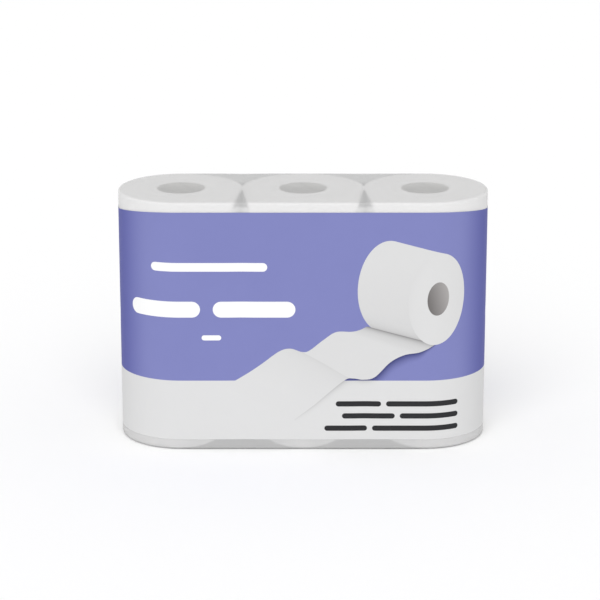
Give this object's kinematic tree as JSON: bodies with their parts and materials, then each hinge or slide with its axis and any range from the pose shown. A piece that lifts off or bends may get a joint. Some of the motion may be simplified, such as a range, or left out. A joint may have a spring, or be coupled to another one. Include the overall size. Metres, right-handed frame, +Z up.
{
  "type": "toilet paper roll pack",
  "caption": "Toilet rolls standing on end, two high and three wide, in a round-ended film wrap, clear at top and foot and printed between.",
  "frame": {"origin": "centre of the base, on the plane that the pack stands on", "axes": "+X along the three rolls, +Y to the back seam of the wrap, +Z up"},
  "size_m": [0.2944, 0.1007, 0.2031],
  "materials": {
    "film": "thin polyethylene film, clear at the top and the foot, printed in flat lilac blue and white between",
    "tissue": "white two-ply tissue, lightly embossed, wound in rolls",
    "core": "uncoated grey-brown board, spiral wound"
  },
  "bodies": {
    "root": {"film_wrap": "film", "tissue_roll_lower_left": "tissue", "core_tube_lower_left": "core", "tissue_roll_lower_middle": "tissue", "core_tube_lower_middle": "core", "tissue_roll_lower_right": "tissue", "core_tube_lower_right": "core", "tissue_roll_upper_left": "tissue", "core_tube_upper_left": "core", "tissue_roll_upper_middle": "tissue", "core_tube_upper_middle": "core", "tissue_roll_upper_right": "tissue", "core_tube_upper_right": "core"}
  },
  "joints": []
}
